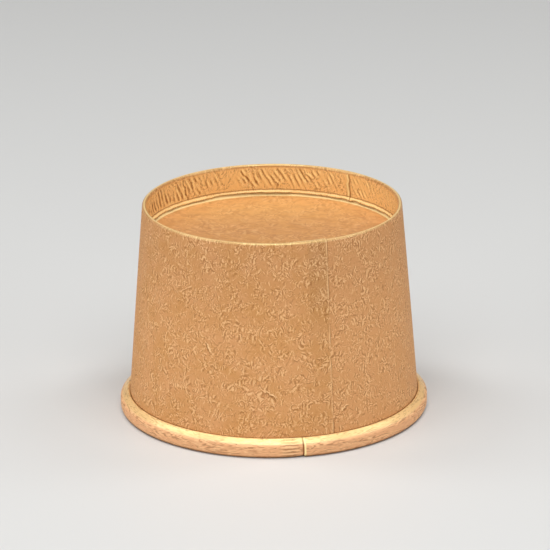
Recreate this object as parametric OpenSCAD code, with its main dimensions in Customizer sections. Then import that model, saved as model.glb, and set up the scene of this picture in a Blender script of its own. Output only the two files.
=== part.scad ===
/* [Overall] */
// Outside diameter over the rolled mouth rim
rim_d = 90; // [84:0.5:110]
// Outside diameter of the wall at the foot edge
foot_d = 75.7; // [60:0.1:78]
// Height from the mouth rim to the foot edge
body_h = 62; // [45:0.5:120]

/* [Paper] */
// Thickness of the wall sheet
wall_t = 0.4; // [0.3:0.05:0.45]
// Thickness of the base sheet
base_t = 0.4; // [0.3:0.05:0.6]
// Clearance between the base skirt and each layer of the wall sheet
skirt_fit = 0.03; // [0.01:0.01:0.1]

/* [Mouth roll] */
// Width of the roll, from the inside of the mouth to the outside of the rim
roll_w = 2.9; // [2.6:0.1:4]
// Height at which the straight outer face of the roll ends
roll_face_h = 3.2; // [2.4:0.1:4]
// Height of the whole roll
roll_h = 5.4; // [4.9:0.1:7]
// Outside radius of the roll's shoulder
roll_shoulder_r = 1; // [0.6:0.1:1.3]
// Length of sheet tucked down inside the roll
roll_tuck = 1.8; // [0.5:0.1:2.2]
// Clearance between the tucked end and the wall
tuck_fit = 0.05; // [0.02:0.01:0.1]

/* [Foot] */
// Depth of the base below the foot edge
base_recess = 9.7; // [6:0.1:14]
// Inside radius of the corner where the base turns up into its skirt
base_corner_r = 1.4; // [0.6:0.1:1.6]
// Height of the turned-in layer's cut edge above the base
edge_rise = 0.7; // [0.5:0.1:2]
// Length of the unpressed lip along the cut edge
lip_len = 1.2; // [0.6:0.1:2]
// Lean of the lip away from the skirt, in degrees
lip_lean = 20; // [5:1:30]
// Depth to which the mouth and foot edges are pressed flat
land_press = 0.02; // [0.01:0.005:0.04]

/* [Lap seam] */
// Azimuth of the outer cut edge, in degrees to the right of the front
seam_az = 23.5; // [0:0.5:40]
// Width of the glued lap, in degrees
lap_deg = 12.5; // [8:0.5:20]
// Angle over which the outer layer comes down past the edge that it hides
ramp_deg = 8; // [6:0.5:12]
// Thickness lost where the two layers are pressed together
lap_press = 0.08; // [0.04:0.01:0.12]
// How far the inner layer's cut edge stands proud on the mouth roll
roll_step = 0.2; // [0.1:0.05:0.25]

/* [Hidden] */
$fn = 96;

wall_colour = [0.80, 0.60, 0.38];
base_colour = [0.78, 0.58, 0.37];
big = 400;

// Mouth roll: one arc carries the sheet from the inside of the wall to the outer face.
roll_r = roll_w / 2;
roll_c = [rim_d / 2 - roll_r, roll_r - land_press];

// Foot fold: the wall sheet turns over the edge of the base skirt.
fold_in_r = base_t / 2 + skirt_fit;
fold_r = fold_in_r + wall_t;
fold_c = [foot_d / 2 - fold_r, body_h - fold_r + land_press];

// Lean of the wall: its inner face is tangent to the roll's arc and to the inside of the fold.
roll_to_fold = roll_c - fold_c;
wall_lean = atan2(roll_to_fold[1], roll_to_fold[0]) + acos((roll_r + fold_in_r) / norm(roll_to_fold));
wall_len = -roll_to_fold[1] * cos(wall_lean) + roll_to_fold[0] * sin(wall_lean);

// Places along the wall are given from the fold's centre: out from the wall, and up along it.
function along_wall(out, up) = fold_c + [out * cos(wall_lean) - up * sin(wall_lean),
                                         out * sin(wall_lean) + up * cos(wall_lean)];
function up_at(out, z) = (z - fold_c[1] - out * sin(wall_lean)) / cos(wall_lean);

// Tucked end of the roll, beside the outer face of the wall.
tuck_r = wall_t + tuck_fit;
tuck_out = fold_r + tuck_fit + tuck_r;
tuck_up = up_at(tuck_out, roll_h - tuck_r);
tuck_c = along_wall(tuck_out, tuck_up);

// Shoulder of the roll, and the slope that is tangent to the shoulder and to the tuck.
shoulder_c = [rim_d / 2 - roll_shoulder_r, roll_face_h];
slope = shoulder_c - tuck_c;
slope_az = atan2(slope[1], slope[0]) + acos((tuck_r - roll_shoulder_r) / norm(slope));
slope_len = norm(slope) * sin(acos((tuck_r - roll_shoulder_r) / norm(slope)));

// Base and its skirt, with the length by which the skirt runs into the bend below it.
base_z = body_h - base_recess;
corner_out = -base_t / 2 - base_corner_r;
corner_up = up_at(corner_out, base_z + base_corner_r);
corner_c = along_wall(corner_out, corner_up);
bend_bite = 0.02;

// Turned-in layer, down to the lip, which leans off the skirt.
lip_up = up_at(-fold_r, base_z + edge_rise) + lip_len * cos(lip_lean);

// Lap seam: where the second layer leaves the first one, and how far its cut edge stands proud.
lap_az = seam_az - lap_deg;
leave_az = lap_az - ramp_deg;
lap_step = wall_t - lap_press;
lap_bite = lap_press / 2;
// Hidden ends of the layers are set this far apart, in degrees, so that none is flush with another.
stagger = 0.5;

// Unit vector on the ground at an azimuth, which is 0 at the front and grows to the right.
function ground(az) = [sin(az), -cos(az), 0];

// Pie slice of the plane between two angles less than 180 degrees apart.
module pie(from, to) {
  mid = (from + to) / 2;
  polygon([[0, 0], big * [cos(from), sin(from)], big * [cos(mid), sin(mid)], big * [cos(to), sin(to)]]);
}

// Piece of a sheet bent round a centre: outside radius, thickness and two angles.
module bend(centre, r, t, from, to) {
  translate(centre) intersection() {
    difference() {
      circle(r);
      circle(r - t);
    }
    pie(from, to);
  }
}

// Rectangle in the wall's own directions, from a lower to an upper corner.
module strip(low, high) {
  translate(fold_c) rotate(wall_lean) translate(low) square(high - low);
}

// Round piece of the section between two azimuths.
module sector(from, to) {
  rotate([0, 0, from - 90]) rotate_extrude(angle = to - from) children();
}

// Block that holds everything between two azimuths.
module wedge(from, to) {
  rotate([0, 0, -90]) linear_extrude(2 * body_h) pie(from, to);
}

module roll_section() {
  bend(roll_c, roll_r, wall_t, 180 + wall_lean, 270);
  bend(roll_c, roll_r, wall_t, 270, 360);
  translate([rim_d / 2 - wall_t, roll_c[1]]) square([wall_t, roll_face_h - roll_c[1]]);
  bend(shoulder_c, roll_shoulder_r, wall_t, 0, slope_az);
  translate(shoulder_c) rotate(slope_az) translate([roll_shoulder_r - wall_t, 0]) square([wall_t, slope_len]);
  bend(tuck_c, tuck_r, wall_t, slope_az, 90);
  bend(tuck_c, tuck_r, wall_t, 90, 180 + wall_lean);
  strip([tuck_out - tuck_r, tuck_up - roll_tuck], [tuck_out - tuck_r + wall_t, tuck_up]);
}

module fold_section() {
  bend(fold_c, fold_r, wall_t, wall_lean, 90);
  bend(fold_c, fold_r, wall_t, 90, 180 + wall_lean);
}

module wall_section() {
  strip([fold_in_r, -wall_len], [fold_r, 0]);
}

module band_section() {
  strip([-fold_r, lip_up], [-fold_in_r, 0]);
  translate(along_wall(-fold_r, lip_up)) rotate(wall_lean) {
    intersection() {
      circle(wall_t);
      pie(-lip_lean, 0);
    }
    rotate(-lip_lean) translate([0, -lip_len]) square([wall_t, lip_len]);
  }
}

// Half plane that keeps the mouth and foot edges pressed flat.
module pressed() {
  intersection() {
    children();
    square([big, body_h]);
  }
}

// Second layer of the sheet outside the wall, and over the foot fold and the turned-in layer.
module outer_lap_section() {
  strip([fold_r - lap_step - lap_bite, tuck_up], [fold_r, 0]);
  bend(fold_c, fold_r, lap_step + lap_bite, wall_lean, 90);
}

module inner_lap_section() {
  bend(fold_c, fold_r, lap_step + lap_bite, 90, 180 + wall_lean);
  strip([-fold_r, lip_up], [-fold_r + lap_step + lap_bite, 0]);
}

// Second layer, moved sideways so that it rises from nothing to the lift at the seam's cut edge.
module second_layer(lift) {
  slide = lift / sin(lap_deg + ramp_deg);
  intersection() {
    wedge(leave_az - stagger, seam_az);
    translate(slide * ground(seam_az + 90) + (lift + slide * slide / foot_d) * ground(seam_az))
      rotate_extrude() pressed() children();
  }
}

module side_wall() {
  color(wall_colour) {
    rotate_extrude() pressed() {
      roll_section();
      wall_section();
      fold_section();
      band_section();
    }
    second_layer(lap_step) outer_lap_section();
    second_layer(-lap_step) inner_lap_section();
    sector(lap_az, seam_az - stagger) pressed() translate([roll_step, 0]) roll_section();
  }
}

module base_disc() {
  color(base_colour) rotate_extrude() {
    translate([0, base_z - base_t]) square([corner_c[0], base_t]);
    bend(corner_c, base_corner_r + base_t, base_t, -90, wall_lean);
    strip([-base_t / 2, corner_up - bend_bite], [base_t / 2, 0]);
  }
}

side_wall();
base_disc();
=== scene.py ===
"""Kraft paper tub standing on its mouth: one rolled, lapped and folded wall sheet, and a dished base inside
its foot."""

import math

import bpy
import numpy as np
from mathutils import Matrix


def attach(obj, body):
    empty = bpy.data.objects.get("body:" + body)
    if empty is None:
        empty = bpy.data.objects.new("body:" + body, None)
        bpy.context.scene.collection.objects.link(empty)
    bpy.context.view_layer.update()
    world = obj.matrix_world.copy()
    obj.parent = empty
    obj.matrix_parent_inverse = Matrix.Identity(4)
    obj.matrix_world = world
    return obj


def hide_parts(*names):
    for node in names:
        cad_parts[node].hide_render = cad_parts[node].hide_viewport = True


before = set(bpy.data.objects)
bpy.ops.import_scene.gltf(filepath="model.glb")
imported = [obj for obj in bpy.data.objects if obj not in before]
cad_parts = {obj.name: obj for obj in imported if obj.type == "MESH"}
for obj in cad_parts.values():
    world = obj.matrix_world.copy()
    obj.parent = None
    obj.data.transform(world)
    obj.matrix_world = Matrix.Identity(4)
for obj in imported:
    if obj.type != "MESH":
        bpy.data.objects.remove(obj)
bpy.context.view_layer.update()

# Sizes of the tub in millimetres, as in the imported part
MM = 0.001
RIM_R = 45.0
FOOT_R = 37.85
BODY_H = 62.0
BOARD = 0.4
SKIRT_FIT = 0.03
LAND = 0.02
ROLL_R = 1.45
FACE_H = 3.2
ROLL_H = 5.4
SHOULDER_R = 1.0
TUCK_LEN = 1.8
TUCK_FIT = 0.05
BASE_Z = 52.3
CORNER_R = 1.4
EDGE_RISE = 0.7
LIP_LEN = 1.2
LIP_LEAN = 20.0

# Lap seam: its ends in degrees of azimuth, which is 0 at the front and grows to the right
INNER_END = 11.0
OUTER_END = 23.5
# Degrees over which the outer layer rises, the board thins, and the cut ends straighten the columns
RAMP = 8.0
THINNING = 1.2
STRAIGHTENING = 14.0
# Thickness of the board in the pressed lap, and the step from the lower layer to the upper one
LAP_BOARD = 0.36
LAP_STEP = 0.365

# Columns of the two surfaces, and the angle in degrees past which an edge is sharp
WALL_COLUMNS = 800
BASE_COLUMNS = 320
SHARP = 50
# Distance in millimetres that keeps the coated face's part of the map away from the outer face's part
COATED_U = 700
# Cells along each side of the table of random values, which repeats past them
NOISE_CELLS = 257


def smooth(low, high, x):
    """Rises from 0 at low to 1 at high along the curve 3t squared minus 2t cubed."""
    t = np.clip((x - low) / (high - low), 0, 1)
    return t * t * (3 - 2 * t)


def noise(x, y, seed):
    """Random values from -1 to 1 at whole numbers of x and y, blended between them with the smooth
    curve."""
    table = np.random.default_rng(seed).uniform(-1, 1, (NOISE_CELLS, NOISE_CELLS))
    ix, iy = np.floor(x).astype(int), np.floor(y).astype(int)
    fx, fy = smooth(0, 1, x - ix), smooth(0, 1, y - iy)
    corner = [[table[(ix + a) % NOISE_CELLS, (iy + b) % NOISE_CELLS] for b in (0, 1)] for a in (0, 1)]
    left = corner[0][0] * (1 - fy) + corner[0][1] * fy
    right = corner[1][0] * (1 - fy) + corner[1][1] * fy
    return left * (1 - fx) + right * fx


def ring_noise(az, degrees, seed):
    """Random values from -1 to 1 along the azimuth alone, a new one every so many degrees."""
    return noise(az / degrees, az * 0, seed)


def hill(x, middle, width):
    """Bell curve: e to the power of minus the squared distance from the middle, counted in widths."""
    return np.exp(-(((x - middle) / width) ** 2))


def unit(degrees):
    """Vector of length 1 at an angle of the section's plane: its cosine and sine."""
    a = np.radians(degrees)
    return np.stack([np.cos(a), np.sin(a)], -1)


def bend(centre, radius, start, end, steps):
    """Arc: the centre plus the radius times the unit vector of angles spread evenly from start to end.
    The normals point from the centre on an arc that turns left, and to it on one that turns right."""
    out = unit(np.linspace(start, end, steps + 1))
    return centre + radius * out, out * np.sign(end - start)


def run(start, end, steps):
    """Straight line from start to end in even steps. Its normal is its direction turned right by a
    quarter."""
    share = np.linspace(0, 1, steps + 1)[:, None]
    way = (end - start) / np.linalg.norm(end - start)
    return start + share * (end - start), np.tile([way[1], -way[0]], (steps + 1, 1))


def joined(pieces):
    """Pieces of a path end to end, without the doubled points, and the number of its piece for each
    point."""
    points = np.concatenate([p[min(k, 1):] for k, (p, _) in enumerate(pieces)])
    normals = np.concatenate([n[min(k, 1):] for k, (_, n) in enumerate(pieces)])
    numbers = np.concatenate([np.full(len(p) - min(k, 1), k) for k, (p, _) in enumerate(pieces)])
    return points, normals, numbers


def lengths(path):
    """Length along a path up to each of its points."""
    return np.concatenate([[0], np.cumsum(np.linalg.norm(np.diff(path, axis=0), axis=1))])


# Section of the tub: the wall's lean, and the centres round which the sheet is bent
half = BOARD / 2
roll_c = np.array([RIM_R - ROLL_R, ROLL_R - LAND])
fold_in_r = half + SKIRT_FIT
fold_r = fold_in_r + BOARD
fold_c = np.array([FOOT_R - fold_r, BODY_H - fold_r + LAND])
reach = roll_c - fold_c
reach_az = math.atan2(reach[1], reach[0])
LEAN = math.degrees(reach_az + math.acos((ROLL_R + fold_in_r) / np.linalg.norm(reach)))
OUT, UP = unit(LEAN), unit(LEAN + 90)


def along(out, up):
    """Point of the section that lies out from the fold's centre across the wall, and up along the wall."""
    return fold_c + out * OUT + up * UP


def up_at(out, z):
    """Distance up the wall from the fold's centre at which a point that lies out from it has the height
    z."""
    return (z - fold_c[1] - out * OUT[1]) / UP[1]


tuck_r = BOARD + TUCK_FIT
tuck_out = fold_r + TUCK_FIT + tuck_r
tuck_up = up_at(tuck_out, ROLL_H - tuck_r)
tuck_c = along(tuck_out, tuck_up)
shoulder_c = np.array([RIM_R - SHOULDER_R, FACE_H])
slope = shoulder_c - tuck_c
slope_turn = math.acos((tuck_r - SHOULDER_R) / np.linalg.norm(slope))
SLOPE_AZ = math.degrees(math.atan2(slope[1], slope[0]) + slope_turn)
lip_up = up_at(-fold_r, BASE_Z + EDGE_RISE) + LIP_LEN * math.cos(math.radians(LIP_LEAN))
corner_out = -half - CORNER_R
corner_c = along(corner_out, up_at(corner_out, BASE_Z + CORNER_R))

# Parts of the sheet's path in their order, and the steps of each on the outer face and on the coated one
LEG, TUCK, SLOPE, SHOULDER, FACE, BOTTOM, HIDDEN_WALL, WALL, FOLD, BAND, LIP = range(11)
OUTER_STEPS = (2, 3, 1, 3, 1, 6, 3, 19, 12, 16, 4)
COATED_STEPS = (2, 5, 4, 7, 5, 12, 2, 6, 4, 2, 2)


def sheet_path(steps):
    """Middle of the wall sheet from the tucked end of the roll to the cut edge of the lip: arcs and
    straight runs, each tangent to the next apart from the lip."""
    leg_out = tuck_out - tuck_r + half
    mid_fold = fold_in_r + half
    lip_start = along(-mid_fold, lip_up)
    slope_start = tuck_c + (tuck_r - half) * unit(SLOPE_AZ)
    slope_end = shoulder_c + (SHOULDER_R - half) * unit(SLOPE_AZ)
    return joined([
        run(along(leg_out, tuck_up - TUCK_LEN), along(leg_out, tuck_up), steps[LEG]),
        bend(tuck_c, tuck_r - half, 180 + LEAN, SLOPE_AZ, steps[TUCK]),
        run(slope_start, slope_end, steps[SLOPE]),
        bend(shoulder_c, SHOULDER_R - half, SLOPE_AZ, 0, steps[SHOULDER]),
        run(shoulder_c + [SHOULDER_R - half, 0], roll_c + [ROLL_R - half, 0], steps[FACE]),
        bend(roll_c, ROLL_R - half, 0, LEAN - 180, steps[BOTTOM]),
        run(roll_c - (ROLL_R - half) * OUT, along(mid_fold, tuck_up), steps[HIDDEN_WALL]),
        run(along(mid_fold, tuck_up), along(mid_fold, 0), steps[WALL]),
        bend(fold_c, mid_fold, LEAN, 180 + LEAN, steps[FOLD]),
        run(along(-mid_fold, 0), lip_start, steps[BAND]),
        run(lip_start, lip_start + LIP_LEN * unit(LEAN - LIP_LEAN - 90), steps[LIP]),
    ])


# Knurling of the turned-in layer: slanted ribs, whose depth is in millimetres and whose slant is in degrees
RIBS = 136
RIB_DEPTH = 0.19
RIB_SLANT = 27.0
# Power that sharpens a rib, the height of its middle, and how far its place wanders, in ribs
RIB_POWER = 1.6
RIB_MIDDLE = 0.45
RIB_WANDER = 0.32
# Heights between which the ribs begin and end, and the same for the pleat
RIBS_LOW, RIBS_HIGH = (54.2, 55.6), (60.2, 61.3)
PLEAT_LOW, PLEAT_HIGH = (53.4, 54.4), (60.4, 61.4)

# Strength of the knurling round the foot, as pairs of azimuth and share
KNURL = np.array([
    [0, 0.7], [40, 0.9], [75, 0.6], [100, 0.15], [122, 0.2], [127, 0.6], [132, 0.8], [139, 0.7],
    [141, 0.2], [149, 0.3], [152, 0.9], [160, 0.8], [164, 1.3], [168, 0.9], [178, 1.1], [186, 0.8],
    [191, 1.3], [195, 0.9], [197, 0.2], [203, 0.2], [206, 0.7], [215, 1.0], [222, 1.6], [227, 1.2],
    [245, 1.3], [262, 0.6], [290, 0.9], [330, 0.8], [360, 0.7],
])

# Creases of the turned-in layer: start and end as azimuth and height, half width, and height off the layer
CREASES = [
    ((226.5, 60.3), (223.6, 56.0), 0.35, -0.24),
    ((225.6, 60.0), (222.8, 55.6), 0.30, 0.16),
    ((229.5, 59.6), (227.6, 56.6), 0.30, -0.16),
    ((223.4, 56.0), (222.4, 54.2), 0.55, -0.22),
    ((218.0, 60.2), (216.8, 57.6), 0.28, -0.14),
    ((177.2, 54.6), (176.8, 56.0), 0.24, 0.26),
    ((176.8, 56.0), (175.6, 57.4), 0.22, 0.20),
    ((176.9, 55.9), (178.4, 57.0), 0.22, 0.18),
    ((193.8, 60.4), (190.6, 57.4), 0.34, 0.20),
    ((194.8, 60.0), (192.0, 57.2), 0.28, -0.18),
    ((167.4, 60.5), (164.0, 56.8), 0.32, -0.20),
    ((165.4, 60.9), (162.2, 58.6), 0.30, 0.18),
    ((114.0, 59.5), (113.0, 55.5), 0.30, 0.10),
    ((109.0, 59.0), (108.6, 55.0), 0.28, -0.10),
    ((104.0, 60.0), (104.6, 56.5), 0.30, 0.10),
    ((232.6, 55.4), (240.0, 54.6), 0.30, -0.12),
]

# Pleat: the azimuth and height of its step, and its zigzag edge as heights and degrees off that azimuth
PLEAT_AZ = 142.0
PLEAT_H = 0.24
ZIGZAG_Z = [54, 55.2, 56.6, 58, 59.2, 60.4]
ZIGZAG_OFF = [0.05, -0.15, 0.1, 0.45, -0.3, 0.15]

# Short way across the ribs over which their light is taken, in degrees and millimetres, and its full rise
ACROSS_AZ, ACROSS_Z = 0.32, 0.11
FULL_RISE = 0.17


def segment_mark(az, z, start, end, width):
    """Mark along a crease: e to the power of minus the squared distance from the crease, counted in widths.
    The crease is a straight line between two places given as azimuth and height, on a wall of the foot's
    radius."""
    scale = math.radians(1) * FOOT_R
    px, pz = (az - start[0]) * scale, z - start[1]
    ex, ez = (end[0] - start[0]) * scale, end[1] - start[1]
    share = np.clip((px * ex + pz * ez) / (ex * ex + ez * ez), 0, 1)
    return np.exp(-((px - share * ex) ** 2 + (pz - share * ez) ** 2) / width ** 2)


def pleat_off(az, z):
    """Degrees of azimuth from the pleat's edge, which zigzags between straight pieces as it rises."""
    return az - PLEAT_AZ - np.interp(z, ZIGZAG_Z, ZIGZAG_OFF)


def ribs(az, z):
    """Slanted ribs: a cosine's power round the foot, whose phase and depth wander with slow and quick
    noise."""
    wander = 0.9 * noise(az / 9, z / 3, 3) + 0.25 * noise(az / 2.5, z / 1.5, 4)
    slide = (BODY_H - z) * math.tan(math.radians(RIB_SLANT)) / (math.tau * FOOT_R)
    phase = (az / 360 + slide) * RIBS + RIB_WANDER * wander
    rib = (0.5 + 0.5 * np.cos(math.tau * phase)) ** RIB_POWER
    depth = np.interp(az % 360, KNURL[:, 0], KNURL[:, 1]) * (0.72 + 0.85 * noise(az / 2.4, z / 1.7, 5))
    window = smooth(*RIBS_LOW, z + 0.5 * ring_noise(az, 6, 6)) * (1 - smooth(*RIBS_HIGH, z))
    return RIB_DEPTH * (rib - RIB_MIDDLE) * np.clip(depth, 0, 2) * window


def pleat(az, z):
    """Pleat that steps up at a zigzag line and dies away beside it, with a valley along its other side."""
    beside = pleat_off(az % 360, z)
    step = PLEAT_H * smooth(-0.35, 0.05, beside) * np.exp(-np.clip(beside, 0, None) / 1.6)
    valley = -0.9 * PLEAT_H * hill(beside, -0.5, 0.4)
    return (step + valley) * smooth(*PLEAT_LOW, z) * (1 - smooth(*PLEAT_HIGH, z))


def foot_relief(az, z):
    """Relief of the turned-in layer: the ribs, then creases with the profile of a bell curve on a place
    that noise bends a little, and the pleat."""
    relief = ribs(az, z)
    crease_az = az % 360 + 0.7 * noise(az / 1.7, z / 1.1, 13)
    crease_z = z + 0.35 * noise(az / 1.4, z / 1.3, 14)
    for start, end, width, height in CREASES:
        relief = relief + height * segment_mark(crease_az, crease_z, start, end, width)
    return relief + pleat(az, z)


def slope_light(az, z):
    """Light on the slopes of the turned-in layer, from -1 to 1: the rise of its relief over a short way
    that runs along the layer and down, which is across the ribs."""
    rise = foot_relief(az + ACROSS_AZ, z - ACROSS_Z) - foot_relief(az - ACROSS_AZ, z + ACROSS_Z)
    return np.clip(rise / FULL_RISE, -1, 1)


# Cut edge of the lip: a stretch that stands higher, and a bump and a dip beside the pleat
LIP_RAISED = 0.28
RAISED_FROM, RAISED_TO = (170.3, 171.3), (207.5, 209.0)
LIP_BUMP, LIP_BUMP_AZ, LIP_BUMP_W = 0.35, 137.5, 2.2
LIP_DIP, LIP_DIP_AZ, LIP_DIP_W = 0.3, 141.3, 1.0
# How far the lip stands off the skirt at its cut edge, beyond its lean
LIP_FLARE = 0.08


def lip_edge(az):
    """Height by which the lip's cut edge rises or falls: slow and quick noise, a stretch that stands
    higher, and a bump and a dip with the profile of a bell curve."""
    az = az % 360
    wave = 0.19 * ring_noise(az, 11, 8) + 0.11 * ring_noise(az, 3.2, 9)
    wave = wave + LIP_RAISED * (smooth(*RAISED_FROM, az) - smooth(*RAISED_TO, az))
    return wave + (LIP_BUMP * hill(az, LIP_BUMP_AZ, LIP_BUMP_W) - LIP_DIP * hill(az, LIP_DIP_AZ, LIP_DIP_W))


# Unevenness of the real tub in millimetres: two waves round it, a flat place at the right, and its rim
OVAL, OVAL_AT = 0.10, -40
TRIANGLE, TRIANGLE_AT = 0.05, 70
FLAT_DEPTH, FLAT_AZ, FLAT_WIDTH = 0.22, 90, 13
RIM_WAVE = 0.06


def settle(r, az, z):
    """Radius of the real tub, a little out of round: two slow waves round it that grow towards the foot, a
    flat place, and the unevenness of the pressed rim, which dies away above the roll."""
    share = z / BODY_H
    flat = hill((az - FLAT_AZ + 180) % 360 - 180, 0, FLAT_WIDTH)
    oval = OVAL * np.cos(np.radians(2 * az + OVAL_AT))
    waves = oval + TRIANGLE * np.cos(np.radians(3 * az + TRIANGLE_AT))
    rim = RIM_WAVE * ring_noise(az, 17, 12) * (1 - smooth(5, 14, z))
    return r + share * share * (waves - FLAT_DEPTH * flat) * (r / FOOT_R) + rim


def placed(r, az, z):
    """Points in metres from radius, azimuth in degrees and height in millimetres: (r sin az, -r cos az, z),
    with what would lie below the ground pressed flat onto it."""
    r = settle(r, az, z)
    a = np.radians(az)
    return np.stack([r * np.sin(a), -r * np.cos(a), np.maximum(z, 0)], -1) * MM


def quads(rows, cols, close_rows, close_cols):
    """Corners of the faces between neighbours of a grid numbered row by row, which may close on itself."""
    i, j = np.meshgrid(np.arange(rows - (not close_rows)), np.arange(cols - (not close_cols)), indexing="ij")
    k, m = (i + 1) % rows, (j + 1) % cols
    return np.stack([i * cols + j, i * cols + m, k * cols + m, k * cols + j], -1).reshape(-1, 4)


def make(name, points, faces, uv, marks, material, body, node):
    """Smooth object with sharp cut edges from points, faces, a map in millimetres, and one number a point
    for each mark."""
    mesh = bpy.data.meshes.new(name)
    mesh.from_pydata(points.reshape(-1, 3).tolist(), [], faces)
    mesh.shade_smooth()
    mesh.set_sharp_from_angle(angle=math.radians(SHARP))
    corner = np.empty(len(mesh.loops), dtype=np.int32)
    mesh.loops.foreach_get("vertex_index", corner)
    layer = mesh.uv_layers.new(name="board_mm")
    layer.data.foreach_set("uv", uv.reshape(-1, 2)[corner].astype(np.float32).ravel())
    for label, values in marks.items():
        mark = mesh.attributes.new(label, "FLOAT", "POINT")
        mark.data.foreach_set("value", values.astype(np.float32).ravel())
    mesh.materials.append(material)
    thing = bpy.data.objects.new(name, mesh)
    bpy.context.scene.collection.objects.link(thing)
    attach(thing, body)
    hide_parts(node)
    return thing


# Lengths along the outer face's path at which the wall, the lip and the cut edge lie, for the map
OUTER, OUTER_N, OUTER_PART = sheet_path(OUTER_STEPS)
OUTER_LEN = lengths(OUTER)
WALL_V, LIP_V = (OUTER_LEN[np.argmax(OUTER_PART == part) - 1] for part in (WALL, LIP))
END_V = OUTER_LEN[-1]
# Places round the map: the seam and the lap's end outside, and both ends of the roll on the coated face
SEAM_U = math.radians(OUTER_END) * FOOT_R
LAP_END_U = math.radians(360 + OUTER_END) * FOOT_R
RIM_U = math.radians(INNER_END) * FOOT_R + COATED_U
RIM_FAR_U = math.radians(360 + INNER_END) * FOOT_R + COATED_U
MARKS = ("roll", "coated", "edge", "light", "polish", "band", "crown", "under", "pleat")

# Shares of the lap's lift that the roll's slope and the wall behind the roll take, and what the crest loses
SLOPE_LIFT, HIDDEN_LIFT, CREST_LOSS = 0.5, 0.15, 0.3
# How far inwards the fold's normal points where the knurling begins on it
INWARDS = 0.7
# Least polish of the roll, and the heights between which it rises to the full one. The same rise paints a
# gilt highlight on the roll's upper slope.
LEAST_GLOSS_AND_SHINE = 0.2
SHINE_LOW, SHINE_HIGH = 3.7, 4.5
# Power that narrows the painted highlight on the fold's crown, and the heights between which the roll's
# painted shade fades
CROWN_POWER = 14
SHADE_HIGH, SHADE_LOW = 1.0, 0.3
# Degrees before the outer cut edge between which its painted highlight rises
EDGE_FAR, EDGE_NEAR = 0.6, 0.2


def lap_lift(az):
    """Height by which the lap lifts the outer layer: half the foot's radius times the squared angle past
    the start of the ramp, up to one board."""
    past = np.clip(az - (360 + INNER_END - RAMP), 0, None)
    return np.minimum(LAP_STEP, 0.5 * FOOT_R * np.radians(past) ** 2)


def lap_board(az):
    """Thickness of the board, which the lap presses thinner."""
    lapped = smooth(-THINNING, 0, OUTER_END - az) + smooth(-THINNING, 0, az - 360 - INNER_END)
    return BOARD - (BOARD - LAP_BOARD) * np.clip(lapped, 0, 1)


def wall_face(side, path, normal, part):
    """Points, map and marks of one face of the wall sheet, on side 1 or -1 of the path. It lies half the
    board's thickness off the path, plus a share of the lap's lift: none inside the roll, all of it along
    the wall. Round the foot the columns lean with the knurling, so that each rib runs along them."""
    length = lengths(path)
    length = length if side > 0 else length[-1] - length
    r0, z0 = path[:, :1], path[:, 1:]
    n_r, n_z = normal[:, :1], normal[:, 1:]
    part = part[:, None]
    rolled, folded, turned_in = part <= BOTTOM, part == FOLD, part >= BAND

    base = np.linspace(INNER_END, 360 + OUTER_END, WALL_COLUMNS)[None, :]
    ends = smooth(0, STRAIGHTENING, base - INNER_END) * smooth(0, STRAIGHTENING, 360 + OUTER_END - base)
    lean = np.where(turned_in, (fold_c[1] - z0) * math.tan(math.radians(RIB_SLANT)) / FOOT_R, 0)
    az = base - np.degrees(lean) * ends

    share = np.select(
        [part <= TUCK, part == SLOPE, part == HIDDEN_WALL, folded],
        [0, SLOPE_LIFT, HIDDEN_LIFT, 1 - CREST_LOSS * np.clip(n_z, 0, 1) ** 4], 1.0)
    off = side * lap_board(az) / 2 + lap_lift(az) * share
    z_here = z0 + n_z * off
    knurled = (side > 0) & (turned_in | folded & (n_r < -INWARDS))
    off = off + np.where(knurled, foot_relief(az, z_here), 0)
    r, z = r0 + n_r * off, z0 + n_z * off

    along_lip = np.where(part == LIP, np.clip((along(0, lip_up)[1] - z0) / LIP_LEN, 0, 1), 0)
    flare = 0.16 * ring_noise(az, 8, 10) + 0.10 * ring_noise(az, 2.7, 11)
    r = r - along_lip * (LIP_FLARE + flare)
    z = z + along_lip ** 2 * lip_edge(az)

    u = np.radians(az) * FOOT_R + (0 if side > 0 else COATED_U)
    whole = np.ones(az.shape)
    roll_gloss_and_shine = np.where(rolled, LEAST_GLOSS_AND_SHINE + (1 - LEAST_GLOSS_AND_SHINE) * smooth(SHINE_LOW, SHINE_HIGH, z), 1)
    marks = {
        "roll": whole * rolled,
        "coated": whole * (side < 0),
        # Painted highlight along the outer cut edge of the lap
        "edge": whole * smooth(360 + OUTER_END - EDGE_FAR, 360 + OUTER_END - EDGE_NEAR, az),
        # Painted light and shade on the slopes of the ribs
        "light": np.where(knurled, slope_light(az, z_here), 0),
        # Gloss of the board, which on the roll also sets its painted gilt highlight
        "polish": whole * np.where(folded, 1, roll_gloss_and_shine * (side < 0)),
        "band": whole * turned_in * (side > 0),
        # Painted highlight along the crown of the fold
        "crown": whole * folded * np.clip(n_z, 0, 1) ** CROWN_POWER,
        # Painted shadow of the ground under the roll
        "under": smooth(SHADE_HIGH, SHADE_LOW, z) * rolled,
        "pleat": pleat_off(az, z_here) * math.radians(1) * FOOT_R,
    }
    return placed(r, az, z), np.stack([u, np.broadcast_to(length[:, None], az.shape)], -1), marks


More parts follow.
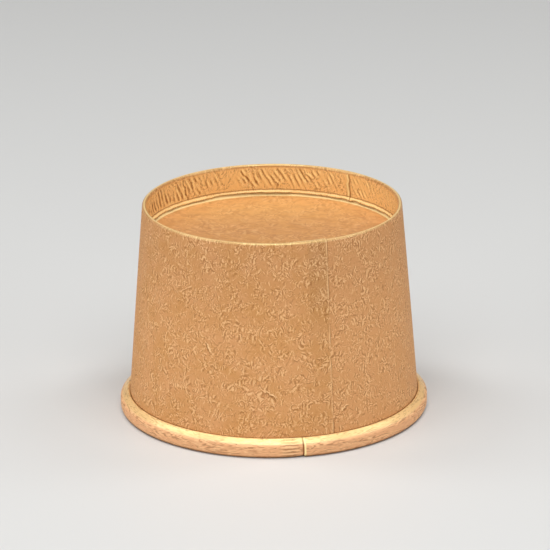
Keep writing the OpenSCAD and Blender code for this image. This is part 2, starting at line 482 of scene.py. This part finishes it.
def wall_sheet(material):
    """Wall sheet as a surface over azimuth and the length along the section's path: its outer face, its
    coated face back again, and a flat cut edge at each end of the lap."""
    back, back_n, back_part = sheet_path(COATED_STEPS)
    outer = wall_face(1, OUTER, OUTER_N, OUTER_PART)
    coated = wall_face(-1, back[::-1], back_n[::-1], back_part[::-1])
    points, maps = (np.concatenate(pair) for pair in zip(outer[:2], coated[:2]))
    marks = {label: np.concatenate([outer[2][label], coated[2][label]]) for label in MARKS}
    rows = len(points)
    faces = quads(rows, WALL_COLUMNS, True, False).tolist()
    first = np.arange(rows) * WALL_COLUMNS
    faces += [first.tolist(), (first + WALL_COLUMNS - 1)[::-1].tolist()]
    return make("wall_sheet", points, faces, maps, marks, material, "root", "side_wall")


# Steps along the base's section: its flat face, corner and skirt, and the flat face underneath
FLAT_STEPS, CORNER_STEPS, SKIRT_STEPS, UNDER_STEPS = 34, 9, 6, 20
# How far below the fold's centre the skirt ends, and how many pieces of the outline are its upper side
SKIRT_TIP = -0.05
UPPER_PIECES = 3
# Warp of the flat face: height, size of a wave, and seed. The noise is read this far from its table's edge.
WARPS = ((0.10, 13, 21), (0.02, 4, 22))
WARP_SHIFT = 40


def base_sheet(material):
    """Base as a surface over azimuth and the outline of its section: the flat face, a corner that turns up
    into the skirt, and the same back underneath. Slow noise warps the flat part, less towards the
    corner."""
    down = np.array([0, -1.0])
    outer_r = CORNER_R + BOARD
    outline, _, piece = joined([
        run(np.array([0, BASE_Z]), corner_c + CORNER_R * down, FLAT_STEPS),
        bend(corner_c, CORNER_R, -90, LEAN, CORNER_STEPS),
        run(corner_c + CORNER_R * OUT, along(-half, SKIRT_TIP), SKIRT_STEPS),
        run(along(-half, SKIRT_TIP), along(half, SKIRT_TIP), 1),
        run(along(half, SKIRT_TIP), corner_c + outer_r * OUT, SKIRT_STEPS),
        bend(corner_c, outer_r, LEAN, -90, CORNER_STEPS),
        run(corner_c + outer_r * down, np.array([0, BASE_Z - BOARD]), UNDER_STEPS),
    ])
    outline, piece = outline[1:-1], piece[1:-1]
    rows, cols = len(outline), BASE_COLUMNS
    az = np.arange(cols)[None, :] * 360 / cols
    r = np.repeat(outline[:, :1], cols, 1)
    z = np.repeat(outline[:, 1:], cols, 1)
    a = np.radians(az)
    x, y = r * np.sin(a), -r * np.cos(a)
    flat = 1 - smooth(0.75 * FOOT_R, 0.95 * FOOT_R, r)
    waves = [(high, noise(x / size + WARP_SHIFT, y / size + WARP_SHIFT, seed)) for high, size, seed in WARPS]
    z = z + sum(high * flat * wave for high, wave in waves)
    ring = placed(r, az, z)
    poles = [[0, 0, ring[0, :, 2].mean()], [0, 0, ring[-1, :, 2].mean()]]
    points = np.concatenate([ring.reshape(-1, 3), poles])
    near = np.arange(cols)
    far = (near + 1) % cols
    last = (rows - 1) * cols
    faces = quads(rows, cols, False, True)[:, ::-1].tolist()
    faces += np.stack([near, far, np.full(cols, rows * cols)], -1).tolist()
    faces += np.stack([last + far, last + near, np.full(cols, rows * cols + 1)], -1).tolist()
    upper = np.append(np.repeat(piece < UPPER_PIECES, cols), [1, 0])
    uv = points[:, :2] / MM
    return make("base_sheet", points, faces, uv, {"upper": upper}, material, "root", "base_disc")


class Net:
    """Short words for adding nodes to a tree and joining them."""

    def __init__(self, tree):
        self.tree = tree

    def add(self, kind, inputs=None, **settings):
        """New node of a kind, with its settings, and its inputs given by name or number."""
        made = self.tree.nodes.new(kind)
        for key, value in settings.items():
            setattr(made, key, value)
        for key, value in (inputs or {}).items():
            self.give(made.inputs[key], value)
        return made

    def give(self, socket, value):
        """Links another node's output to a socket, or sets the socket's own value."""
        if isinstance(value, bpy.types.NodeSocket):
            self.tree.links.new(value, socket)
        else:
            socket.default_value = value

    def sum(self, kind, *values):
        """Result of one step of arithmetic on numbers."""
        return self.add("ShaderNodeMath", dict(enumerate(values)), operation=kind).outputs[0]

    def product(self, *values):
        """All values multiplied together."""
        result = values[0]
        for value in values[1:]:
            result = self.sum("MULTIPLY", result, value)
        return result

    def vector(self, kind, one, other):
        """Result of one step of arithmetic on two vectors."""
        return self.add("ShaderNodeVectorMath", {0: one, 1: other}, operation=kind).outputs[0]

    def fit(self, value, low, high, to_low=0.0, to_high=1.0):
        """The value carried from one range to another along the smooth curve, and held beyond its ends."""
        ends = {"Value": value, "From Min": low, "From Max": high, "To Min": to_low, "To Max": to_high}
        return self.add("ShaderNodeMapRange", ends, interpolation_type="SMOOTHSTEP").outputs["Result"]

    def line(self, value, middle, half_width):
        """1 where the value is at the middle, down to 0 at half a width from it."""
        return self.fit(self.sum("ABSOLUTE", self.sum("SUBTRACT", value, middle)), half_width, 0.0)

    def between(self, value, low, high, soft):
        """1 where the value lies between two others, with edges as wide as soft."""
        return self.product(self.fit(value, low, low + soft), self.fit(value, high, high - soft))

    def cloud(self, vector, scale, detail=2.0, rough=0.5, twist=0.0, output="Fac"):
        """Cloudy noise from 0 to 1, mostly near the middle."""
        kind = {"Vector": vector, "Scale": scale, "Detail": detail, "Roughness": rough, "Distortion": twist}
        return self.add("ShaderNodeTexNoise", kind).outputs[output]

    def sway(self, vector, scale, size):
        """Cloudy noise round 0, as far as half its size to either side."""
        return self.product(self.sum("SUBTRACT", self.cloud(vector, scale, rough=0.6), 0.5), size)

    def mark(self, label):
        """Number that the mesh holds for each point under a name."""
        return self.add("ShaderNodeAttribute", attribute_name=label).outputs["Fac"]

    def blend(self, kind, share, one, other):
        """One colour mixed with or multiplied by another, by a share."""
        made = self.add("ShaderNodeMix", data_type="RGBA", blend_type=kind)
        for socket, value in ((0, share), (6, one), (7, other)):
            self.give(made.inputs[socket], value)
        return made.outputs[2]


def group(name, inputs, outputs):
    """Empty shader node group with named inputs, and the sockets to build it between."""
    tree = bpy.data.node_groups.new(name, "ShaderNodeTree")
    for label, kind, value in inputs:
        socket = tree.interface.new_socket(label, in_out="INPUT", socket_type=kind)
        if value is not None:
            socket.default_value = value
    for label, kind in outputs:
        tree.interface.new_socket(label, in_out="OUTPUT", socket_type=kind)
    net = Net(tree)
    return tree, net, net.add("NodeGroupInput").outputs, net.add("NodeGroupOutput").inputs


def use(net, tree, **values):
    """Outputs of one use of a node group, with its inputs given by name."""
    return net.add("ShaderNodeGroup", values, node_tree=tree).outputs


# Colours of the board, its faces and its lines
TAN = (0.590, 0.284, 0.098, 1)
PINK = (0.640, 0.318, 0.130, 1)
ROSE = (0.780, 0.410, 0.205, 1)
COATED = (0.680, 0.350, 0.150, 1)
GOLD = (0.880, 0.540, 0.205, 1)
# Warm colour of the painted light reflected onto the back of the base
BOUNCE_ORANGE = (0.720, 0.370, 0.120, 1)
DARK = (0.250, 0.095, 0.025, 1)
PALE = (0.950, 0.640, 0.330, 1)
# Colours of painted highlights and painted light
LIT_GILT = (1.000, 0.720, 0.300, 1)
HIGHLIGHT_BUTTER = (1.000, 0.800, 0.380, 1)
# Colour of the polished board's shine, and the colours that dull it when multiplied in. The last of them
# paints the near wall's shade on the front of the base.
WHITE = (1.000, 1.000, 1.000, 1)
SHEEN = (1.000, 0.950, 0.450, 1)
LAP_DULL = (0.900, 0.910, 0.900, 1)
FOOT_DULL = (0.900, 0.890, 0.890, 1)
PATCH_DULL = (0.870, 0.840, 0.800, 1)
NEAR_WALL_SHADE = (0.950, 0.965, 0.955, 1)

# Two fields of fibres: how each is stretched, where it lies in the noise, and how much it twists
FIBRE_FIELDS = (((0.70, 0.29, 1), (0, 0, 0), 0.8), ((0.55, 0.47, 1), (31, 17, 5), 1.4))
# Way over which the fibres' light is taken: its usual lean, and how far slow noise turns and stretches it
LIGHT_LEAN = (0.10, -0.08, 0)
LIGHT_WANDER = (2.4, 2.4, 0)
# Height in metres that a height of 1 stands for in the bump
BUMP_M = 0.02 * MM
# Shares by which a tone makes the board paler and darker, for each effect
FIBRE_TINT = (0.44, 0.52)
SLOPE_TINT = (0.84, 0.68)
CREASE_TINT = (0.7, 0.8)
WRINKLE_TINT = (0.6, 0.7)
BASE_TINT = (0.18, 0.22)


def relief_group():
    """Height of pressed fibres, from 0 to about 2: thin curly lines where two twisted noises pass their
    middle values, over a fine grain. Place is in millimetres."""
    tree, net, given, wanted = group(
        "board_relief",
        [("Place", "NodeSocketVector", None), ("Width", "NodeSocketFloat", 0.11)],
        [("Height", "NodeSocketFloat")])
    height = net.product(net.cloud(given["Place"], 1.3, rough=0.6, twist=0.4), 0.8)
    for stretch, shift, twist in FIBRE_FIELDS:
        place = net.vector("MULTIPLY", net.vector("ADD", given["Place"], shift), stretch)
        twisted = net.cloud(place, 1.0, detail=1.0, twist=twist)
        off = net.sum("DIVIDE", net.sum("ABSOLUTE", net.sum("SUBTRACT", twisted, 0.5)), given["Width"])
        height = net.sum("ADD", height, net.fit(off, 1.0, 0.0))
    net.give(wanted["Height"], height)
    return tree


def fibre_group(relief):
    """Height of the fibres, and the tone of their lit and shaded sides: the rise of the height over a short
    way. The way leans to the lower right, and slow noise turns it and makes it longer or shorter from patch
    to patch. Slower noise calms whole patches. Place is in millimetres."""
    tree, net, given, wanted = group(
        "board_fibres",
        [("Place", "NodeSocketVector", None)],
        [("Height", "NodeSocketFloat"), ("Tone", "NodeSocketFloat")])
    place = given["Place"]
    height = use(net, relief, Place=place)["Height"]
    turn = net.vector("ADD", net.cloud(place, 0.36, detail=1.0, output="Color"), (-0.5, -0.5, -0.5))
    way = net.vector("ADD", net.vector("MULTIPLY", turn, LIGHT_WANDER), LIGHT_LEAN)
    beside = use(net, relief, Place=net.vector("ADD", place, way))["Height"]
    calm = net.fit(net.cloud(place, 0.21, rough=0.6), 0.40, 0.58, 0.45, 1.25)
    net.give(wanted["Height"], height)
    net.give(wanted["Tone"], net.product(net.sum("SUBTRACT", beside, height), calm))
    return tree


def mottle_group():
    """Cloudy patches, from 0 to 1, and sparse dark specks. Place is in millimetres."""
    tree, net, given, wanted = group(
        "board_mottle",
        [("Place", "NodeSocketVector", None), ("Patch", "NodeSocketFloat", 0.16)],
        [("Cloud", "NodeSocketFloat"), ("Speck", "NodeSocketFloat")])
    cloud = net.cloud(given["Place"], given["Patch"], detail=3.0, rough=0.6, twist=0.3)
    speck = net.cloud(given["Place"], 1.7, detail=1.0, rough=0.4)
    net.give(wanted["Cloud"], net.fit(cloud, 0.30, 0.70))
    net.give(wanted["Speck"], net.fit(speck, 0.735, 0.77))
    return tree


def tint_group():
    """Colour drawn towards a pale one where the tone is above 0, and towards the dark one where it is below
    0. Light and Dark are the shares that it reaches at a tone of 1 and of -1."""
    tree, net, given, wanted = group(
        "board_tint",
        [("Colour", "NodeSocketColor", TAN), ("Pale", "NodeSocketColor", PALE),
         ("Tone", "NodeSocketFloat", 0.0), ("Light", "NodeSocketFloat", 0.5),
         ("Dark", "NodeSocketFloat", 0.5)],
        [("Colour", "NodeSocketColor")])
    light = net.fit(given["Tone"], 0.0, 1.0, 0.0, given["Light"])
    dark = net.fit(given["Tone"], 0.0, -1.0, 0.0, given["Dark"])
    paler = net.blend("MIX", light, given["Colour"], given["Pale"])
    net.give(wanted["Colour"], net.blend("MIX", dark, paler, DARK))
    return tree


FIBRES = fibre_group(relief_group())
MOTTLE = mottle_group()
TINT = tint_group()


def kraft(name):
    """New material with its shader, and the net and the place in millimetres to build it from."""
    material = bpy.data.materials.new(name)
    material.use_nodes = True
    net = Net(material.node_tree)
    place = net.add("ShaderNodeUVMap", uv_map="board_mm").outputs["UV"]
    return material, net, net.tree.nodes["Principled BSDF"], place


def tinted(net, colour, tone, light, dark, pale=PALE):
    """Colour made paler and darker by a tone."""
    return use(net, TINT, Colour=colour, Tone=tone, Light=light, Dark=dark, Pale=pale)["Colour"]


def finish(net, shader, colour, height):
    """Gives the shader its colour, and its normal from a height."""
    bump = net.add("ShaderNodeBump", {"Height": height, "Strength": 1.0, "Distance": BUMP_M})
    net.give(shader.inputs["Base Color"], colour)
    net.give(shader.inputs["Normal"], bump.outputs["Normal"])


# Creases of the wall: start and end as azimuth and height
WALL_CREASES = [
    ((355.2, 19.7), (361.6, 17.3)),
    ((26.5, 11.2), (31.5, 13.6)),
    ((331.0, 33.0), (333.5, 29.0)),
]
# Right-hand end on the map of the pinker part of the wall
PINK_END_U = 75.0
# How the fibres of the roll are drawn out along it, and the strength of the wall's bump and of its specks
ROLL_STRETCH = (0.26, 2.2, 1)
WALL_BUMP = 0.7
SPECK = 0.5
# Roughness and index of refraction of plain board and of polished board
PLAIN_ROUGH, POLISHED_ROUGH = 0.65, 0.28
PLAIN_IOR, POLISHED_IOR = 1.25, 2.3
# Noise scale of the cloudy tints on the wall and on the base: the share of a patch that one millimetre is
WALL_PATCH, BASE_PATCH = 0.13, 0.22
# How the base's fibres are stretched, the strength of its bump, its roughness and its index of refraction
BASE_STRETCH = (0.40, 0.48, 1)
BASE_BUMP = 0.5
BASE_ROUGH = 0.5
BASE_IOR = 1.48
# Wrinkles left of the roll's seam: how far they reach, and their waves across the roll
WRINKLE_LEN = 7.0
WRINKLE_WAVES = 6.5


def crease(net, u, v, start, end):
    """Tone of a short crease between two places of the map: painted shade along its line and painted light
    beside it, fading at its ends."""
    reach = np.subtract(end, start)
    size = float(np.hypot(*reach))
    way = (reach / size).tolist()
    from_u, from_v = net.sum("SUBTRACT", u, float(start[0])), net.sum("SUBTRACT", v, float(start[1]))
    on = net.sum("ADD", net.product(from_u, way[0]), net.product(from_v, way[1]))
    off = net.sum("SUBTRACT", net.product(from_v, way[0]), net.product(from_u, way[1]))
    pair = net.sum("SUBTRACT", net.line(off, 0.42, 0.40), net.line(off, 0.0, 0.42))
    return net.product(pair, net.between(on, 0.0, size, 0.3 * size))


def wall_tints(net, mark, u, v, cloud):
    """Colour of the plain board: cloudy tints, pinker right of the seam, golden on the turned-in layer, the
    coated face's own colour, and a rosy roll with a painted gilt highlight on its upper slope. The lap and
    the wall near the foot are duller."""
    off_roll = net.sum("SUBTRACT", 1.0, mark["roll"])
    off_band = net.sum("SUBTRACT", 1.0, mark["band"])
    colour = net.blend("MIX", cloud, TAN, PINK)
    colour = net.blend("MIX", net.product(net.between(u, SEAM_U, PINK_END_U, 0.2), 0.7), colour, PINK)
    colour = net.blend("MIX", mark["band"], colour, GOLD)
    colour = net.blend("MIX", mark["coated"], colour, COATED)
    colour = net.blend("MIX", net.product(mark["roll"], 0.8), colour, ROSE)
    # Painted highlight: the roll's upper slope drawn towards gilt as its polish rises
    painted_slope_highlight = net.product(mark["roll"], net.fit(mark["polish"], LEAST_GLOSS_AND_SHINE, 1.0), 0.5)
    colour = net.blend("MIX", painted_slope_highlight, colour, LIT_GILT)
    lap = net.product(net.between(u, LAP_END_U - 6.0, LAP_END_U + 1.0, 0.8),
                      net.fit(v, WALL_V + 20.0, WALL_V + 50.0, 0.2, 1.0), off_roll)
    near_foot = net.product(net.fit(v, WALL_V + 22.0, WALL_V + 56.0), off_band)
    return net.blend("MULTIPLY", near_foot, net.blend("MULTIPLY", lap, colour, LAP_DULL), FOOT_DULL)


def wall_lines(net, mark, place, v_line, colour):
    """Painted highlights and painted shadows laid over the colour as lines. Painted highlights: along the
    seam's cut edge, the roll's cut edge, the lip, the pleat's edge and the crown of the fold. Painted
    shadows: of the seam, of the roll's seam, of the lip's bend, of the lip's cut edge, of the pleat, of the
    junction of wall and roll, and of the ground under the roll."""
    split = net.add("ShaderNodeSeparateXYZ", {"Vector": place}).outputs
    u, v = split["X"], split["Y"]
    roll, band, pleat_at = mark["roll"], mark["band"], mark["pleat"]
    off_roll = net.sum("SUBTRACT", 1.0, roll)
    patches = net.cloud(net.vector("MULTIPLY", place, (0.0, 0.11, 1)), 1.0, rough=0.6)
    fade = net.fit(patches, 0.42, 0.60, 0.15, 1.0)
    # Share of each line over the surface, its strength and its colour
    lines = (
        (net.product(mark["edge"], off_roll, fade), 0.8, PALE),
        (net.product(net.between(u, RIM_U - 0.1, RIM_U + 0.5, 0.12), roll), 0.9, HIGHLIGHT_BUTTER),
        (net.product(net.between(v_line, LIP_V + 0.3, END_V - 0.25, 0.25), band), 0.75, HIGHLIGHT_BUTTER),
        (net.product(net.line(pleat_at, 0.16, 0.36), band), 0.85, HIGHLIGHT_BUTTER),
        (mark["crown"], 0.7, HIGHLIGHT_BUTTER),
        (net.product(net.between(u, SEAM_U - 0.1, SEAM_U + 0.42, 0.12), off_roll, fade), 0.7, DARK),
        (net.product(net.between(u, RIM_FAR_U - 0.45, RIM_FAR_U + 0.3, 0.12), roll), 0.85, DARK),
        (net.line(v_line, LIP_V, 0.34), 0.80, DARK),
        (net.fit(v, END_V - 0.25, END_V - 0.05), 0.75, DARK),
        (net.product(net.line(pleat_at, -0.32, 0.34), band), 0.75, DARK),
        (net.product(net.between(v, WALL_V - 0.3, WALL_V + 0.6, 0.25), off_roll), 0.85, DARK),
        (mark["under"], 0.85, DARK),
    )
    for share, strength, line_colour in lines:
        colour = net.blend("MIX", net.product(share, strength), colour, line_colour)
    return colour


def wall_material():
    """Wrapped kraft board: tints, fibres with their lit and shaded sides painted in, painted light and shade
    on the slopes of the turned-in layer, specks, creases and the roll's wrinkles with painted light and
    shade, and lines of painted highlight and painted shadow along edges and seams. The fold and the roll's
    upper slope are polished, and the upper slope also carries a painted gilt highlight."""
    material, net, shader, place = kraft("wall_kraft")
    mark = {label: net.mark(label) for label in MARKS}
    split = net.add("ShaderNodeSeparateXYZ", {"Vector": place}).outputs
    u, v = split["X"], split["Y"]
    wobble = net.sway(place, 0.5, 0.5)
    mottle = use(net, MOTTLE, Place=place, Patch=WALL_PATCH)

    drawn_out = net.add("ShaderNodeMix", {0: mark["roll"], 4: (1, 1, 1), 5: ROLL_STRETCH}, data_type="VECTOR")
    fibres = use(net, FIBRES, Place=net.vector("MULTIPLY", place, drawn_out.outputs[1]))
    colour = wall_tints(net, mark, u, v, mottle["Cloud"])
    # Painted light and shade: the fibres' lit and shaded sides, then the lit and shaded slopes of the ribs
    colour = tinted(net, colour, fibres["Tone"], *FIBRE_TINT)
    colour = tinted(net, colour, mark["light"], *SLOPE_TINT, LIT_GILT)
    colour = net.blend("MIX", net.product(mottle["Speck"], SPECK), colour, DARK)

    bent_u = net.sum("ADD", u, net.product(wobble, 3.0))
    bent_v = net.sum("ADD", v, net.sway(place, 0.9, 2.4))
    # Creases painted as shade along their lines with light beside them
    for ends in WALL_CREASES:
        start, end = ((math.radians(az) * FOOT_R, WALL_V + z - ROLL_H) for az, z in ends)
        colour = tinted(net, colour, crease(net, bent_u, bent_v, start, end), *CREASE_TINT)

    wrinkle_at = net.product(net.between(u, RIM_FAR_U - WRINKLE_LEN, RIM_FAR_U + 0.1, 3.0), mark["roll"])
    wave = net.sum("SINE", net.sum("ADD", net.product(v, WRINKLE_WAVES), net.product(wobble, 9.0)))
    wrinkle = net.product(wave, wrinkle_at)
    height = net.sum("ADD", net.product(fibres["Height"], WALL_BUMP), net.product(wrinkle, 2.0))
    # Wrinkles of the roll: the bump raises them and the colour paints their light and shade
    colour = tinted(net, colour, wrinkle, *WRINKLE_TINT)
    colour = wall_lines(net, mark, place, net.sum("ADD", v, wobble), colour)

    net.give(shader.inputs["Roughness"], net.fit(mark["polish"], 0.0, 1.0, PLAIN_ROUGH, POLISHED_ROUGH))
    net.give(shader.inputs["IOR"], net.fit(mark["polish"], 0.0, 1.0, PLAIN_IOR, POLISHED_IOR))
    net.give(shader.inputs["Specular Tint"], net.blend("MIX", mark["polish"], WHITE, SHEEN))
    finish(net, shader, colour, height)
    return material


def base_material():
    """Drawn kraft board: cloudy tints, painted shade of the near wall towards the front and painted warm
    light reflected from the turned-in layer towards the back, soft fibres, and a painted highlight on the
    ring of the corner."""
    material, net, shader, place = kraft("base_kraft")
    mottle = use(net, MOTTLE, Place=place, Patch=BASE_PATCH)
    fibres = use(net, FIBRES, Place=net.vector("MULTIPLY", place, BASE_STRETCH))
    y = net.add("ShaderNodeSeparateXYZ", {"Vector": place}).outputs["Y"]
    out = net.add("ShaderNodeVectorMath", {0: place}, operation="LENGTH").outputs["Value"]
    colour = net.blend("MIX", mottle["Cloud"], TAN, PINK)
    # Painted warm light reflected from the turned-in layer, growing towards the back
    colour = net.blend("MIX", net.fit(y, 2.0, 30.0, 0.0, 0.9), colour, BOUNCE_ORANGE)
    patches = net.cloud(net.vector("MULTIPLY", place, (0.22, 0.34, 1)), 1.0, rough=0.6, twist=0.4)
    colour = net.blend("MULTIPLY", net.fit(patches, 0.38, 0.64), colour, PATCH_DULL)
    # Painted shade of the near wall, darkest at the front
    colour = net.blend("MULTIPLY", net.fit(y, 24.0, -14.0, 0.1, 1.0), colour, NEAR_WALL_SHADE)
    colour = tinted(net, colour, fibres["Tone"], *BASE_TINT)
    # Painted highlight along the corner's ring on the upper side
    ring = net.fit(out, corner_c[0] - 0.15, corner_c[0] + 0.35, 0.0, 0.7)
    colour = net.blend("MIX", net.product(ring, net.mark("upper")), colour, HIGHLIGHT_BUTTER)
    shader.inputs["Roughness"].default_value = BASE_ROUGH
    shader.inputs["IOR"].default_value = BASE_IOR
    finish(net, shader, colour, net.product(fibres["Height"], BASE_BUMP))
    return material


wall = wall_sheet(wall_material())
base = base_sheet(base_material())

# Floor
FLOOR = 6.0
FLOOR_COLOUR = (0.66, 0.66, 0.65, 1)
FLOOR_ROUGH = 0.55
floor_mesh = bpy.data.meshes.new("floor")
floor_corners = [(-FLOOR, -FLOOR, 0), (FLOOR, -FLOOR, 0), (FLOOR, FLOOR, 0), (-FLOOR, FLOOR, 0)]
floor_mesh.from_pydata(floor_corners, [], [(0, 1, 2, 3)])
floor = bpy.data.objects.new("floor", floor_mesh)
bpy.context.scene.collection.objects.link(floor)
paint = bpy.data.materials.new("floor_paint")
paint.use_nodes = True
paint_shader = paint.node_tree.nodes["Principled BSDF"]
paint_shader.inputs["Base Color"].default_value = FLOOR_COLOUR
paint_shader.inputs["Roughness"].default_value = FLOOR_ROUGH
floor_mesh.materials.append(paint)

# Soft studio light: a key high in front, strips that arch over the tub, and low fills from the sides
AIM = (0, 0, 0.035)
# Name, place, width and height in metres, and power in watts
SOFTBOXES = (
    ("key", (0.0, -1.05, 1.30), 1.30, 0.80, 12.2),
    ("arch_middle", (0.0, -0.17, 1.10), 0.90, 0.30, 6.0),
    ("arch_left", (-0.78, 0.28, 1.05), 0.34, 0.70, 3.6),
    ("arch_right", (0.78, 0.28, 1.05), 0.34, 0.70, 3.0),
    ("left_fill", (-1.6, -0.9, 0.45), 1.3, 0.9, 12.6),
    ("right_fill", (1.6, -0.9, 0.5), 1.3, 0.9, 9.2),
)
SKY_COLOUR = (1.0, 0.99, 0.97, 1)
SKY_STRENGTH = 0.08


def softbox(name, place, wide, high, watts):
    """Area light at a place, turned towards the tub. The camera doesn't see it."""
    light = bpy.data.lights.new(name, "AREA")
    light.shape = "RECTANGLE"
    light.size, light.size_y, light.energy = wide, high, watts
    lamp = bpy.data.objects.new(name, light)
    way = np.array(AIM) - np.array(place)
    lamp.location = place
    lamp.rotation_euler = (math.atan2(math.hypot(way[0], way[1]), -way[2]), 0, math.atan2(-way[0], way[1]))
    lamp.visible_camera = False
    bpy.context.scene.collection.objects.link(lamp)


for box in SOFTBOXES:
    softbox(*box)
world = bpy.data.worlds.new("studio")
world.use_nodes = True
sky = world.node_tree.nodes["Background"].inputs
sky["Color"].default_value = SKY_COLOUR
sky["Strength"].default_value = SKY_STRENGTH
bpy.context.scene.world = world
bpy.context.scene.view_settings.view_transform = "Standard"

# Camera at the photograph's angle: place in metres, lens in millimetres, pitch and roll in radians
CAMERA_AT = (0.000612, -1.1, 0.419026)
LENS = 261.54
SENSOR = 36.0
PITCH = 0.332
ROLL = 0.009
camera_data = bpy.data.cameras.new("camera")
camera_data.sensor_width = SENSOR
camera_data.lens = LENS
camera_data.clip_start, camera_data.clip_end = 0.01, 50.0
camera = bpy.data.objects.new("camera", camera_data)
camera.location = CAMERA_AT
tilt, turn = (math.pi / 2 - PITCH) / 2, ROLL / 2
camera.rotation_mode = "QUATERNION"
camera.rotation_quaternion = (
    math.cos(tilt) * math.cos(turn),
    math.sin(tilt) * math.cos(turn),
    math.sin(tilt) * math.sin(turn),
    -math.cos(tilt) * math.sin(turn),
)
bpy.context.scene.collection.objects.link(camera)
bpy.context.scene.camera = camera
